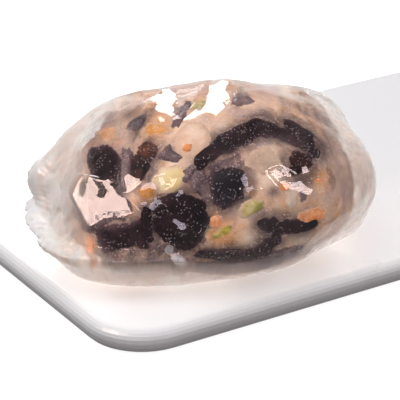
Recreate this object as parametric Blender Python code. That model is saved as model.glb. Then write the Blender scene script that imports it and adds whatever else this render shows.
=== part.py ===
"""A crystal dumpling on its white porcelain plate, as two solids in metres with +Z up.

The plate's long side runs along X, and the origin is at the middle of its underside.
The dumpling is a soft oval mound near the plate's left end. Its outer form is worked out
from a plan outline, a section and a few named swellings, in the dumpling's own directions:
u runs along it from the crimped end to the round end, v runs across it, and w runs up.
"""

import math

import bmesh
import bpy
from mathutils import Matrix, Vector, noise

# Plate
PLATE_LENGTH = 0.200
PLATE_WIDTH = 0.084
PLATE_THICKNESS = 0.0045
PLATE_CORNER_RADIUS = 0.0115
PLATE_EDGE_RADIUS = 0.0021
CORNER_STEPS = 10
EDGE_STEPS = 5
FOOT_WIDTH = 0.006
FOOT_HEIGHT = 0.0008
SHARP_ANGLE = math.radians(35.0)

# Dumpling: its place on the plate, turned from the plate's long side
DUMPLING_X = -0.0633
DUMPLING_Y = -0.0158
DUMPLING_TURN = math.radians(-23.0)
REST_GAP = 0.0003

# Dumpling: half lengths of the plan outline, and the heights of its section
HALF_CRIMPED_END = 0.0305
HALF_ROUND_END = 0.0300
HALF_FRONT = 0.0230
HALF_BACK = 0.0215
HEIGHT = 0.0308
WIDEST_AT_CRIMPED_END = 0.0095
WIDEST_AT_ROUND_END = 0.0140
PLAN_SQUARENESS = 2.25
UPPER_SQUARENESS = 2.2
LOWER_SQUARENESS = 4.2

# Dumpling: the thin pressed brim of dough that runs round it, low down
BRIM_REACH = 0.0006
BRIM_REACH_CRIMPED = 0.0030
BRIM_BACK_SHARE = 0.35
BRIM_HALF_ANGLE = math.radians(6.5)
BRIM_DROP = math.radians(9.0)
RUFFLE_HEIGHT = 0.0006
RUFFLES = 7
CRIMP_DEPTH = 0.0003
CRIMPS = 24
CRIMPED_AT = math.radians(192.0)
CRIMP_SPREAD = math.radians(46.0)

# Dumpling: swellings of the skin, each as its place (u, v, w), its radius and its height, then the
# size and height of the small lumps all over, and the height above the plate where both die away
SWELLINGS = {
    "end knob": ((-0.0315, 0.0045, 0.0138), 0.0045, 0.0050),
    "crimped skirt": ((-0.0250, -0.0165, 0.0050), 0.0130, 0.0050),
    "crimped shoulder": ((-0.0240, 0.0040, 0.0235), 0.0080, -0.0006),
    "round end lip": ((0.0310, -0.0010, 0.0150), 0.0090, 0.0008),
    "back fold": ((0.0240, 0.0080, 0.0250), 0.0080, 0.0014),
    "crown": ((0.0040, 0.0020, 0.0315), 0.0140, 0.0004),
    "front belly": ((0.0000, -0.0210, 0.0110), 0.0140, 0.0008),
}
LUMP_SIZE = 0.011
LUMP_HEIGHT = 0.0006
SWELLING_RISE = 1.4
RESTING_HEIGHT = 0.002

SEGMENTS = 96
RINGS = 44
EVEN_RING_SHARE = 0.6
POLE_LEVEL = 0.9999


def material(name, colour, roughness, transmission=0.0):
    """A Principled material of one finish."""
    made = bpy.data.materials.new(name)
    made.use_nodes = True
    shader = made.node_tree.nodes["Principled BSDF"]
    shader.inputs["Base Color"].default_value = (*colour, 1.0)
    shader.inputs["Roughness"].default_value = roughness
    shader.inputs["Metallic"].default_value = 0.0
    shader.inputs["Transmission Weight"].default_value = transmission
    made.diffuse_color = (*colour, 1.0)
    return made


def add_object(name, shape, collection, finish):
    """Makes a smooth shaded object of a bmesh, in its collection and with its finish."""
    data = bpy.data.meshes.new(name)
    shape.to_mesh(data)
    shape.free()
    data.materials.append(finish)
    data.shade_smooth()
    data.set_sharp_from_angle(angle=SHARP_ANGLE)
    made = bpy.data.objects.new(name, data)
    collection.objects.link(made)
    return made


def rounded_slab(length, width, thickness, corner_radius, edge_radius):
    """A box whose four upright edges and then both rims are rounded, standing on z = 0."""
    mesh = bmesh.new()
    size = Matrix.Diagonal((length, width, thickness, 1.0))
    bmesh.ops.create_cube(mesh, size=1.0, matrix=Matrix.Translation((0, 0, thickness / 2)) @ size)
    upright = [edge for edge in mesh.edges if abs(edge.verts[0].co.z - edge.verts[1].co.z) > thickness / 2]
    bmesh.ops.bevel(
        mesh, geom=upright, offset=corner_radius, segments=CORNER_STEPS, affect="EDGES", profile=0.5
    )
    rims = [edge for edge in mesh.edges if abs(edge.verts[0].co.z - edge.verts[1].co.z) < thickness / 2]
    bmesh.ops.bevel(mesh, geom=rims, offset=edge_radius, segments=EDGE_STEPS, affect="EDGES", profile=0.5)
    return mesh


def make_plate(collection, cutters):
    """The slab, with a shallow recess cut into its underside that leaves a flat foot all round."""
    porcelain = material("white porcelain", (0.93, 0.93, 0.92), 0.12)
    slab = rounded_slab(PLATE_LENGTH, PLATE_WIDTH, PLATE_THICKNESS, PLATE_CORNER_RADIUS, PLATE_EDGE_RADIUS)
    plate = add_object("plate", slab, collection, porcelain)
    margin = 2 * (PLATE_EDGE_RADIUS + FOOT_WIDTH)
    recess = rounded_slab(
        PLATE_LENGTH - margin, PLATE_WIDTH - margin, 2 * FOOT_HEIGHT, PLATE_CORNER_RADIUS / 2, FOOT_HEIGHT / 2
    )
    recess.transform(Matrix.Translation((0, 0, -FOOT_HEIGHT)))
    cutter = add_object("foot recess cutter", recess, cutters, porcelain)
    cutter.hide_render = True
    cutter.display_type = "WIRE"
    cut = plate.modifiers.new("foot recess", "BOOLEAN")
    cut.operation = "DIFFERENCE"
    cut.object = cutter
    return plate


def fade(distance, reach):
    """A smooth swelling: one at its middle, nothing far from it."""
    return math.exp(-((distance / reach) ** 2))


def angle_between(first, second):
    return abs((first - second + math.pi) % (2 * math.pi) - math.pi)


def superellipse(across, up, squareness):
    """How far out the unit superellipse lies in the direction (across, up)."""
    return (abs(across) ** squareness + abs(up) ** squareness) ** (-1.0 / squareness)


def plan_reach(turn):
    """The plan outline's distance from the middle, in the direction of the angle turn."""
    along = math.cos(turn) / (HALF_ROUND_END if math.cos(turn) > 0 else HALF_CRIMPED_END)
    across = math.sin(turn) / (HALF_BACK if math.sin(turn) > 0 else HALF_FRONT)
    return superellipse(along, across, PLAN_SQUARENESS)


def brim(turn, latitude):
    """How far the pressed brim stands out, and how far it ripples up, in metres."""
    crimped = fade(angle_between(turn, CRIMPED_AT), CRIMP_SPREAD)
    front = (1 - math.sin(turn)) / 2
    stand = BRIM_REACH * (BRIM_BACK_SHARE + (1 - BRIM_BACK_SHARE) * front)
    stand += BRIM_REACH_CRIMPED * crimped
    stand += CRIMP_DEPTH * crimped * math.sin(CRIMPS * turn)
    share = fade(latitude + BRIM_DROP, BRIM_HALF_ANGLE)
    ripple = RUFFLE_HEIGHT * math.sin(RUFFLES * turn) * fade(latitude + BRIM_DROP, 2 * BRIM_HALF_ANGLE)
    return stand * share, ripple


def skin_point(direction):
    """The point of the dumpling's outer skin in a direction from its middle, in (u, v, w)."""
    turn = math.atan2(direction.y, direction.x)
    level = math.hypot(direction.x, direction.y)
    latitude = math.atan2(direction.z, level)
    round_end = (1 + math.cos(turn) * level) / 2
    widest = WIDEST_AT_CRIMPED_END + (WIDEST_AT_ROUND_END - WIDEST_AT_CRIMPED_END) * round_end
    if direction.z > 0:
        scale = superellipse(level, direction.z, UPPER_SQUARENESS)
        height = widest + (HEIGHT - widest) * scale * direction.z
    else:
        scale = superellipse(level, direction.z, LOWER_SQUARENESS)
        height = widest + widest * scale * direction.z
    stand, ripple = brim(turn, latitude)
    radius = plan_reach(turn) * scale * level + stand
    point = Vector((radius * math.cos(turn), radius * math.sin(turn), height + ripple))
    outward = Vector((point.x, point.y, SWELLING_RISE * (point.z - widest))).normalized()
    swell = 0.0
    for centre, size, rise in SWELLINGS.values():
        swell += rise * fade((point - Vector(centre)).length, size)
    swell += LUMP_HEIGHT * noise.noise(point / LUMP_SIZE)
    rests = fade(point.z, RESTING_HEIGHT)
    point += outward * swell * (1.0 - rests)
    point.z = max(point.z, 0.0)
    return point


def make_dumpling(collection):
    """A sphere's points moved out to the skin, and the whole set down on the plate."""
    mesh = bmesh.new()
    bmesh.ops.create_uvsphere(mesh, u_segments=SEGMENTS, v_segments=RINGS, radius=1.0)
    for vertex in mesh.verts:
        latitude = math.asin(max(-1.0, min(1.0, vertex.co.z))) / (math.pi / 2)
        evened = math.pi / 2 * (EVEN_RING_SHARE * latitude + (1 - EVEN_RING_SHARE) * latitude**3)
        turn = math.atan2(vertex.co.y, vertex.co.x)
        level = 0.0 if abs(latitude) > POLE_LEVEL else math.cos(evened)
        direction = Vector((level * math.cos(turn), level * math.sin(turn), math.sin(evened)))
        vertex.co = skin_point(direction)
    starch = material("starch skin", (0.62, 0.54, 0.49), 0.2, 0.3)
    dumpling = add_object("dumpling", mesh, collection, starch)
    dumpling.location = (DUMPLING_X, DUMPLING_Y, PLATE_THICKNESS + REST_GAP)
    dumpling.rotation_euler = (0.0, 0.0, DUMPLING_TURN)
    return dumpling


def clear_scene():
    for obj in list(bpy.data.objects):
        bpy.data.objects.remove(obj, do_unlink=True)


def main():
    clear_scene()
    collection = bpy.data.collections.new("crystal dumpling")
    bpy.context.scene.collection.children.link(collection)
    cutters = bpy.data.collections.new("cutters")
    bpy.context.scene.collection.children.link(cutters)
    make_plate(collection, cutters)
    make_dumpling(collection)


main()
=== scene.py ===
import math
import random

import bmesh
import bpy
import numpy as np
from mathutils import Matrix, Vector, noise
from mathutils.bvhtree import BVHTree
from mathutils.kdtree import KDTree


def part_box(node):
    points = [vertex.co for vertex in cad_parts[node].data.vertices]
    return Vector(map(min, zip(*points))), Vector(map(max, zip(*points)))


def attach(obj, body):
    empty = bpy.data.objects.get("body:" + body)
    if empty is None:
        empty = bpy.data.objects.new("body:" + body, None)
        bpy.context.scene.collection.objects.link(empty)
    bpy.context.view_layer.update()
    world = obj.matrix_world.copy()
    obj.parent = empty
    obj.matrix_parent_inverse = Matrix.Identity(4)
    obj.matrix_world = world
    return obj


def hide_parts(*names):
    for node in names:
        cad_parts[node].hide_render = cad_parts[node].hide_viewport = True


for name in ("Cube", "Light", "Camera"):
    if name in bpy.data.objects:
        bpy.data.objects.remove(bpy.data.objects[name])
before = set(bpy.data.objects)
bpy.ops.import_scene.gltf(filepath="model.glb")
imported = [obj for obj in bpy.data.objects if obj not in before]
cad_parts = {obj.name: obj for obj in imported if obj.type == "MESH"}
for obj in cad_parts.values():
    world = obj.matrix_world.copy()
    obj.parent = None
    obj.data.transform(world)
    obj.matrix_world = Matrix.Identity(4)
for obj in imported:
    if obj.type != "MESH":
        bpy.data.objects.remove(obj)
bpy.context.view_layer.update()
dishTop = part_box("dumpling")[0][2]
print("frame loaded:", ", ".join(sorted(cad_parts)))

# The photo's view. Pixel places below count in a picture of 400 by 400.
view = {
    "elevation": 24.13,
    "azimuth": -32.34,
    "distance": 0.4161,
    "focalPixels": 2000.0,
    "pictureSide": 400,
    "sensor": 36.0,
    "target": (-0.0496, 0.0115, 0.0),
}


def viewAxes():
    # right, up and back of the camera
    elevation = math.radians(view["elevation"])
    azimuth = math.radians(view["azimuth"])
    level = math.cos(elevation)
    back = Vector((math.sin(azimuth) * level, -math.cos(azimuth) * level, math.sin(elevation)))
    right = Vector((math.cos(azimuth), math.sin(azimuth), 0.0))
    return right, back.cross(right), back


def eyePoint():
    return Vector(view["target"]) + viewAxes()[2] * view["distance"]


def pixelDirection(x, y):
    # where the camera looks through one pixel of the picture
    right, up, back = viewAxes()
    middle = view["pictureSide"] / 2
    across = (x - middle) / view["focalPixels"]
    rise = (middle - y) / view["focalPixels"]
    return (right * across + up * rise - back).normalized()


def makeCamera():
    data = bpy.data.cameras.new("photo view")
    data.sensor_width = view["sensor"]
    data.lens = view["focalPixels"] / view["pictureSide"] * view["sensor"]
    data.clip_start = 0.01
    data.clip_end = 10.0
    camera = bpy.data.objects.new("photo view", data)
    right, up, back = viewAxes()
    turned = Matrix((right, up, back)).transposed().to_4x4()
    camera.matrix_world = Matrix.Translation(eyePoint()) @ turned
    bpy.context.collection.objects.link(camera)
    bpy.context.scene.camera = camera


makeCamera()
bpy.context.scene.view_settings.view_transform = "Standard"
print("camera placed")


# Shader maths: a socket that Python's operators work on
class Sock:
    def __init__(self, board, socket):
        self.board = board
        self.socket = socket

    def math(self, operation, *others, flipped=False):
        values = (*others, self) if flipped else (self, *others)
        return self.board.add("ShaderNodeMath", {"operation": operation}, *values)

    def __add__(self, other):
        return self.math("ADD", other)

    def __sub__(self, other):
        return self.math("SUBTRACT", other)

    def __rsub__(self, other):
        return self.math("SUBTRACT", other, flipped=True)

    def __mul__(self, other):
        return self.math("MULTIPLY", other)

    def __truediv__(self, other):
        return self.math("DIVIDE", other)

    __radd__ = __add__
    __rmul__ = __mul__

    def clamped(self):
        return self.math("MAXIMUM", 0.0).math("MINIMUM", 1.0)

    def between(self, low, high):
        # 0 below low, 1 above high, with a soft step between them
        settings = {"interpolation_type": "SMOOTHSTEP"}
        return self.board.add("ShaderNodeMapRange", settings, self, low, high, 0.0, 1.0)


class Board:
    # the node tree of a material, a world or a geometry group
    def __init__(self, owner):
        self.owner = owner
        if isinstance(owner, bpy.types.NodeTree):
            self.tree = owner
        else:
            owner.use_nodes = True
            self.tree = owner.node_tree
        self.tree.nodes.clear()

    def add(self, kind, settings=None, *values, out=0, **named):
        node = self.tree.nodes.new(kind)
        for key, value in (settings or {}).items():
            if key == "stops":
                self.setStops(node.color_ramp, value)
            else:
                setattr(node, key, value)
        for index, value in enumerate(values):
            self.feed(node.inputs[index], value)
        for key, value in named.items():
            self.feed(node.inputs[key.replace("_", " ")], value)
        return Sock(self, node.outputs[out]) if node.outputs else None

    def feed(self, target, value):
        if value is None:
            return
        if isinstance(value, Sock):
            self.tree.links.new(value.socket, target)
        elif isinstance(value, (tuple, list)) and len(value) == 3 and target.type == "RGBA":
            target.default_value = (*value, 1.0)
        else:
            target.default_value = value

    def setStops(self, ramp, stops):
        while len(ramp.elements) > 1:
            ramp.elements.remove(ramp.elements[-1])
        for index, (place, colour) in enumerate(stops):
            element = ramp.elements[0] if index == 0 else ramp.elements.new(place)
            element.position = place
            element.color = (*colour, 1.0)

    def noise(self, size, detail=2.0, rough=0.5, stretch=(1, 1, 1), shift=(0, 0, 0)):
        # noise whose patches are about size metres wide
        place = self.add("ShaderNodeTexCoord", out="Object")
        where = self.add("ShaderNodeMapping", None, place, Location=shift, Scale=stretch)
        return self.add("ShaderNodeTexNoise", Vector=where, Scale=1.0 / size, Detail=detail, Roughness=rough)

    def attribute(self, name):
        return self.add("ShaderNodeAttribute", {"attribute_name": name}, out="Fac")

    def blend(self, share, first, second):
        settings = {"data_type": "RGBA", "clamp_factor": True}
        unused = [None] * 5
        return self.add("ShaderNodeMix", settings, share, *unused, first, second, out=2)

    def ramp(self, value, stops):
        return self.add("ShaderNodeValToRGB", {"stops": stops}, value)

    def bump(self, height, depth, strength=1.0):
        return self.add("ShaderNodeBump", Strength=strength, Distance=depth, Height=height)

    def principled(self, **named):
        return self.add("ShaderNodeBsdfPrincipled", **named)

    def finish(self, shader):
        isWorld = isinstance(self.owner, bpy.types.World)
        self.add("ShaderNodeOutputWorld" if isWorld else "ShaderNodeOutputMaterial", Surface=shader)
        return self.owner


def newBoard(name):
    return Board(bpy.data.materials.new(name))


# The dumpling's outer form, in its own directions: u along it, v across it, w up. Each swelling is
# its place, its radius and its height.
form = {
    "place": (-0.0633, -0.0158),
    "turn": math.radians(-23.0),
    "halfCrimpedEnd": 0.0305,
    "halfRoundEnd": 0.0300,
    "halfFront": 0.0230,
    "halfBack": 0.0215,
    "height": 0.0308,
    "widestAtCrimpedEnd": 0.0095,
    "widestAtRoundEnd": 0.0140,
    "planSquareness": 2.25,
    "upperSquareness": 2.2,
    "lowerSquareness": 4.2,
    "swellings": {
        "end knob": ((-0.0314, 0.0047, 0.0143), 0.0039, 0.0052),
        "end fold": ((-0.0318, 0.0040, 0.0110), 0.0040, 0.0016),
        "end brow": ((-0.0272, 0.0068, 0.0192), 0.0046, 0.0018),
        "end cheek": ((-0.0325, -0.0005, 0.0082), 0.0052, 0.0017),
        "crimped skirt": ((-0.0250, -0.0165, 0.0050), 0.0130, 0.0050),
        "crimped shoulder": ((-0.0205, 0.0085, 0.0240), 0.0090, 0.0015),
        "round end lip": ((0.0310, -0.0010, 0.0150), 0.0090, 0.0008),
        "round end shoulder": ((0.0295, 0.0020, 0.0205), 0.0072, -0.0018),
        "back fold": ((0.0240, 0.0080, 0.0250), 0.0080, 0.0010),
        "crown": ((0.0040, 0.0020, 0.0315), 0.0140, 0.0004),
        "front belly": ((0.0000, -0.0210, 0.0110), 0.0140, 0.0008),
    },
    "lumpSize": 0.011,
    "lumpHeight": 0.0006,
    "outwardRise": 1.4,
    "restingHeight": 0.002,
    "tuck": 0.14,
    "tuckedAt": math.radians(-42.0),
    "tuckSpread": math.radians(26.0),
    "tuckedBelow": (0.05, -0.80),
}
brim = {
    "reach": 0.00018,
    "backShare": 0.35,
    "reachCrimped": 0.0038,
    "halfAngle": math.radians(6.5),
    "halfAngleBelow": math.radians(13.0),
    "drop": math.radians(9.0),
    "ruffleHeight": 0.0004,
    "ruffles": 7,
    "crimpDepth": 0.0003,
    "crimps": 24,
    "crimpSpread": math.radians(46.0),
    "crimpedAt": math.radians(192.0),
}
skinGrid = {"segments": 384, "rings": 250, "evenShare": 0.62}


def fade(distance, reach):
    return np.exp(-((distance / reach) ** 2))


def smoothStep(low, high, values):
    share = np.clip((values - low) / (high - low), 0.0, 1.0)
    return share * share * (3.0 - 2.0 * share)


def toWorld(points):
    cos, sin = math.cos(form["turn"]), math.sin(form["turn"])
    spun = np.array(((cos, -sin, 0.0), (sin, cos, 0.0), (0.0, 0.0, 1.0)))
    base = np.array((*form["place"], dishTop))
    return points @ spun.T + base


def lumps(points, size, seed=0.0):
    shift = Vector((seed, seed * 0.7, -seed))
    return np.array([noise.noise(Vector(p) / size + shift) for p in points])


def superellipse(across, up, squareness):
    return (np.abs(across) ** squareness + np.abs(up) ** squareness) ** (-1.0 / squareness)


def turnGap(turn, middle):
    return np.abs((turn - middle + math.pi) % (2 * math.pi) - math.pi)


def brimOf(turn, latitude):
    # how far the pressed brim stands out, and how far it ripples up
    crimped = fade(turnGap(turn, brim["crimpedAt"]), brim["crimpSpread"])
    front = 0.5 - 0.5 * np.sin(turn)
    stand = brim["reach"] * (brim["backShare"] + (1.0 - brim["backShare"]) * front)
    stand += brim["reachCrimped"] * crimped
    stand += brim["crimpDepth"] * crimped * np.sin(brim["crimps"] * turn)
    above = latitude + brim["drop"]
    share = fade(above, np.where(above < 0, brim["halfAngleBelow"], brim["halfAngle"]))
    ripple = brim["ruffleHeight"] * np.sin(brim["ruffles"] * turn) * fade(above, 2 * brim["halfAngle"])
    return stand * share, ripple


def mound(directions, swell=True):
    # the points of the rounded mound in unit directions from its middle
    turn = np.arctan2(directions[:, 1], directions[:, 0])
    level = np.hypot(directions[:, 0], directions[:, 1])
    rise = directions[:, 2]
    latitude = np.arctan2(rise, level)
    upper = rise > 0
    ends = np.where(np.cos(turn) > 0, form["halfRoundEnd"], form["halfCrimpedEnd"])
    sides = np.where(np.sin(turn) > 0, form["halfBack"], form["halfFront"])
    reach = superellipse(np.cos(turn) / ends, np.sin(turn) / sides, form["planSquareness"])
    low, high = form["widestAtCrimpedEnd"], form["widestAtRoundEnd"]
    widest = low + (high - low) * (0.5 + 0.5 * np.cos(turn) * level)
    scale = superellipse(level, rise, np.where(upper, form["upperSquareness"], form["lowerSquareness"]))
    height = widest + np.where(upper, form["height"] - widest, widest) * scale * rise
    tucked = fade(turnGap(turn, form["tuckedAt"]), form["tuckSpread"])
    tucked = tucked * smoothStep(*form["tuckedBelow"], latitude)
    radius = reach * scale * level * (1.0 - form["tuck"] * tucked)
    if swell:
        stand, ripple = brimOf(turn, latitude)
        radius = radius + stand
        height = height + ripple
    points = np.stack((radius * np.cos(turn), radius * np.sin(turn), height), axis=1)
    outward = np.stack((points[:, 0], points[:, 1], form["outwardRise"] * (points[:, 2] - widest)), axis=1)
    outward /= np.maximum(np.linalg.norm(outward, axis=1, keepdims=True), 1e-9)
    swollen = form["lumpHeight"] * lumps(points, form["lumpSize"])
    if swell:
        for centre, size, amount in form["swellings"].values():
            swollen += amount * fade(np.linalg.norm(points - centre, axis=1), size)
    rests = fade(points[:, 2], form["restingHeight"])
    points += outward * (swollen * (1.0 - rests))[:, None]
    points[:, 2] = np.maximum(points[:, 2], 0.0)
    return points


def gridFaces(rows, columns, closed):
    # the faces between the rows of a grid of points, whose rows may join up
    faces = []
    for row in range(rows - 1):
        for step in range(columns if closed else columns - 1):
            here, after = row * columns + step, row * columns + (step + 1) % columns
            faces.append((here, after, after + columns, here + columns))
    return faces


def sphereGrid(segments, rings, evenShare):
    # unit directions of a grid of rings with a pole at each end, and its faces
    share = np.linspace(-1.0, 1.0, rings + 1)[1:-1]
    latitude = math.pi / 2 * (evenShare * share + (1 - evenShare) * share**3)
    turn = np.arange(segments) * 2 * math.pi / segments
    lat, lon = np.meshgrid(latitude, turn, indexing="ij")
    ringed = np.stack((np.cos(lat) * np.cos(lon), np.cos(lat) * np.sin(lon), np.sin(lat)), axis=2)
    directions = np.concatenate((ringed.reshape(-1, 3), ((0.0, 0.0, -1.0), (0.0, 0.0, 1.0))))
    count = len(latitude)
    faces = gridFaces(count, segments, True)
    bottom, top, last = count * segments, count * segments + 1, (count - 1) * segments
    for step in range(segments):
        after = (step + 1) % segments
        faces.append((bottom, after, step))
        faces.append((top, last + step, last + after))
    return directions, faces


def meshObject(name, points, faces, material):
    data = bpy.data.meshes.new(name)
    data.from_pydata([tuple(p) for p in points], [], faces)
    data.validate()
    data.materials.append(material)
    data.shade_smooth()
    made = bpy.data.objects.new(name, data)
    bpy.context.collection.objects.link(made)
    return made


def setAttribute(obj, name, values):
    layer = obj.data.attributes.new(name, "FLOAT", "POINT")
    layer.data.foreach_set("value", np.asarray(values, np.float32))


def pointNormals(points, faces):
    data = bpy.data.meshes.new("scratch")
    data.from_pydata([tuple(p) for p in points], [], faces)
    normals = np.empty(len(points) * 3, np.float32)
    data.vertices.foreach_get("normal", normals)
    bpy.data.meshes.remove(data)
    return normals.reshape(-1, 3).astype(float)


# The smooth skin, which the filling is set against
skinDirections, skinFaces = sphereGrid(skinGrid["segments"], skinGrid["rings"], skinGrid["evenShare"])
skinForm = mound(skinDirections)
smoothSkin = toWorld(skinForm)
skinTree = BVHTree.FromPolygons([Vector(p) for p in smoothSkin], skinFaces)
print("skin form:", len(skinFaces), "faces")


# The haze that dough lays over dark and light filling, in two colours, with the thickness that stays
# clear and the thickness that hides most of it; the smudge at the rim of a piece; and how ragged it is
veil = {
    "dark": ((0.165, 0.095, 0.125), (0.40, 0.27, 0.275)),
    "light": ((0.36, 0.26, 0.28), (0.80, 0.62, 0.50)),
    "clear": 0.00060,
    "depth": 0.0046,
}
smudges = {
    "dark": {"colour": (0.074, 0.036, 0.049), "least": 0.40, "mottle": 0.0},
    "light": {"colour": (0.62, 0.45, 0.34), "least": 0.75, "mottle": 0.45},
}
# Shade darkens all the filling alike: painted shade for the light that the skin holds back, as the skin
# casts no shadow.
fillingLook = {"shade": 0.40, "roughness": 0.45, "mirror": 0.04, "torn": 0.9, "frayed": 1.5}


def fillingMaterial(name, around, colour, *settings):
    # colour is a function of the board and the settings; around is the smudge and haze that it has
    board = newBoard(name)
    pigment = colour(board, *settings)
    thick = (board.attribute("depth") - veil["clear"]).math("MAXIMUM", 0.0) / veil["depth"]
    veiled = 1.0 - (0.0 - thick).math("EXPONENT")
    haze = board.blend(board.noise(0.006, 3.0, 0.6, shift=(1, 6, 3)).between(0.38, 0.62), *veil[around])
    rim = smudges[around]
    smudge = board.attribute("rim") * (rim["least"] + 1.1 * board.noise(0.0022, 3.0, 0.65, shift=(4, 4, 9)))
    mottle = board.noise(0.0017, 3.0, 0.7, shift=(2, 9, 5)).between(0.45, 0.70) * rim["mottle"]
    softened = board.blend((smudge + mottle).clamped(), pigment, rim["colour"])
    colouring = board.blend(veiled.clamped(), softened, haze)
    # painted shade over all the filling
    shaded = board.blend(fillingLook["shade"], colouring, (0.0, 0.0, 0.0))
    torn = fillingLook["torn"] * (board.noise(0.0011, 3.0, 0.65, shift=(7, 7, 3)) - 0.5)
    frayed = fillingLook["frayed"] * (board.noise(0.00022, 2.0, 0.6, shift=(3, 8, 6)) - 0.5)
    return board.finish(board.principled(
        Base_Color=shaded, Roughness=fillingLook["roughness"], Specular_IOR_Level=fillingLook["mirror"],
        Normal=board.bump(board.noise(0.0009, 3.0, 0.6), 0.0002, 0.5),
        Alpha=(board.attribute("above") + torn + frayed).between(0.49, 0.51)
    ))


# Wood ear: name, deep colour, brown of its patches, colour of its flecks, and where its pattern starts
ears = {
    "woodEar": ("wood ear", (0.0042, 0.0019, 0.0033), (0.030, 0.0125, 0.0170),
                (0.30, 0.245, 0.295), (0, 0, 0)),
    "brownEar": ("brown wood ear", (0.020, 0.007, 0.006), (0.140, 0.045, 0.022),
                 (0.34, 0.26, 0.26), (2, 5, 1)),
    "darkBrownEar": ("dark brown wood ear", (0.005, 0.0025, 0.003), (0.060, 0.022, 0.016),
                     (0.34, 0.27, 0.31), (4, 1, 6)),
    "blueEar": ("blue black wood ear", (0.0040, 0.0045, 0.0075), (0.020, 0.020, 0.028),
                (0.30, 0.29, 0.36), (7, 3, 2)),
}
# The lighter filling: name, the size and fineness of its patches, and their colours
lights = {
    "glassy": ("glassy bit", (0.003, 3.0, 0.55),
               ((0.34, (0.20, 0.20, 0.24)), (0.52, (0.40, 0.41, 0.46)), (0.68, (0.62, 0.63, 0.68)))),
    "olive": ("olive slice", (0.0015, 2.0, 0.6),
              ((0.35, (0.26, 0.20, 0.02)), (0.52, (0.46, 0.36, 0.05)), (0.68, (0.66, 0.56, 0.18)))),
    "carrot": ("carrot", (0.0016, 3.0, 0.6),
               ((0.35, (0.70, 0.21, 0.050)), (0.50, (0.88, 0.33, 0.11)), (0.66, (0.94, 0.50, 0.24)))),
    "amber": ("cooked carrot", (0.0022, 3.0, 0.6),
              ((0.35, (0.46, 0.20, 0.05)), (0.52, (0.62, 0.28, 0.06)), (0.68, (0.70, 0.42, 0.18)))),
    "corn": ("corn", (0.005, 2.0, 0.5),
             ((0.36, (0.80, 0.72, 0.50)), (0.52, (0.82, 0.70, 0.38)), (0.66, (0.78, 0.60, 0.22)))),
    "green": ("greens", (0.003, 3.0, 0.6),
              ((0.35, (0.26, 0.26, 0.06)), (0.52, (0.42, 0.40, 0.12)), (0.68, (0.62, 0.54, 0.28)))),
    "peach": ("peach paste", (0.004, 3.0, 0.55),
              ((0.34, (0.66, 0.44, 0.30)), (0.50, (0.74, 0.54, 0.40)), (0.66, (0.82, 0.66, 0.54)))),
    "mushroom": ("mushroom", (0.005, 3.0, 0.55),
                 ((0.34, (0.34, 0.25, 0.19)), (0.52, (0.50, 0.39, 0.30)), (0.68, (0.64, 0.52, 0.42)))),
    "pale": ("pale lump", (0.003, 3.0, 0.55),
             ((0.34, (0.62, 0.51, 0.42)), (0.52, (0.76, 0.66, 0.55)), (0.68, (0.86, 0.79, 0.70)))),
}


def earColour(board, deep, brown, pale, shift):
    # nearly black, browner in patches, with pale flecks in clusters that stand for bubbles in the dough and
    # paint tiny glints
    middle = tuple(0.5 * (a + b) for a, b in zip(deep, brown))
    patch = board.noise(0.0035, 3.0, 0.6, shift=shift)
    dark = board.ramp(patch, ((0.38, deep), (0.56, middle), (0.72, brown)))
    clusters = board.noise(0.003, 2.0, 0.5, shift=(3, 1, 2)).between(0.40, 0.62)
    flecks = board.noise(0.00050, 2.0, 0.7).between(0.60, 0.70) * clusters
    return board.blend(flecks * 0.35, dark, pale)


def duskColour(board):
    # Dusky shreds, whose darkness is partly painted shade, with pale flecks that stand for bubbles in the
    # dough and paint tiny glints.
    stops = ((0.34, (0.062, 0.039, 0.046)), (0.52, (0.152, 0.105, 0.113)), (0.68, (0.300, 0.215, 0.220)))
    dusk = board.ramp(board.noise(0.0028, 4.0, 0.65), stops)
    flecks = board.noise(0.0005, 2.0, 0.7).between(0.60, 0.70)
    return board.blend(flecks * 0.5, dusk, (0.50, 0.44, 0.46))


def lightColour(board, patch, stops):
    return board.ramp(board.noise(*patch), stops)


# Soft washes of colour in the paste that shows: places and reach, in pixels. The dark washes are dusky
# patches, and along the bottom of the filling they are painted shade.
washes = {
    "amber": (
        (155, 127, 15), (140, 132, 8), (150, 197, 10), (213, 221, 13), (222, 238, 17), (200, 256, 9),
        (318, 178, 10), (313, 216, 14), (86, 245, 8), (290, 202, 8), (104, 132, 9), (94, 126, 9),
        (116, 112, 9), (128, 206, 8)
    ),
    "duskAndPaintedShade": (
        (122, 168, 9), (146, 212, 8), (196, 182, 12), (130, 250, 16), (168, 262, 14), (230, 268, 18),
        (270, 262, 14), (300, 250, 10), (262, 236, 10), (322, 150, 10), (306, 182, 8), (240, 96, 8),
        (128, 118, 10), (272, 192, 7), (66, 205, 8), (176, 112, 6), (214, 164, 8), (152, 252, 14),
        (186, 258, 12), (120, 160, 9), (124, 188, 8), (70, 225, 10), (146, 176, 7), (205, 200, 9)
    ),
    "cream": (
        (195, 136, 20), (266, 156, 14), (292, 198, 9), (250, 238, 12), (104, 112, 14), (96, 126, 12),
        (174, 165, 8), (268, 180, 9), (300, 240, 8), (284, 92, 10), (222, 130, 10)
    ),
    "rose": ((266, 90, 12), (120, 192, 10), (300, 186, 10), (232, 150, 8), (340, 150, 14), (345, 190, 12)),
}
washColours = {
    "cream": (0.92, 0.78, 0.64),
    "rose": (0.60, 0.42, 0.40),
    "amber": (0.74, 0.34, 0.10),
    "duskAndPaintedShade": (0.100, 0.062, 0.064),
}


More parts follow.
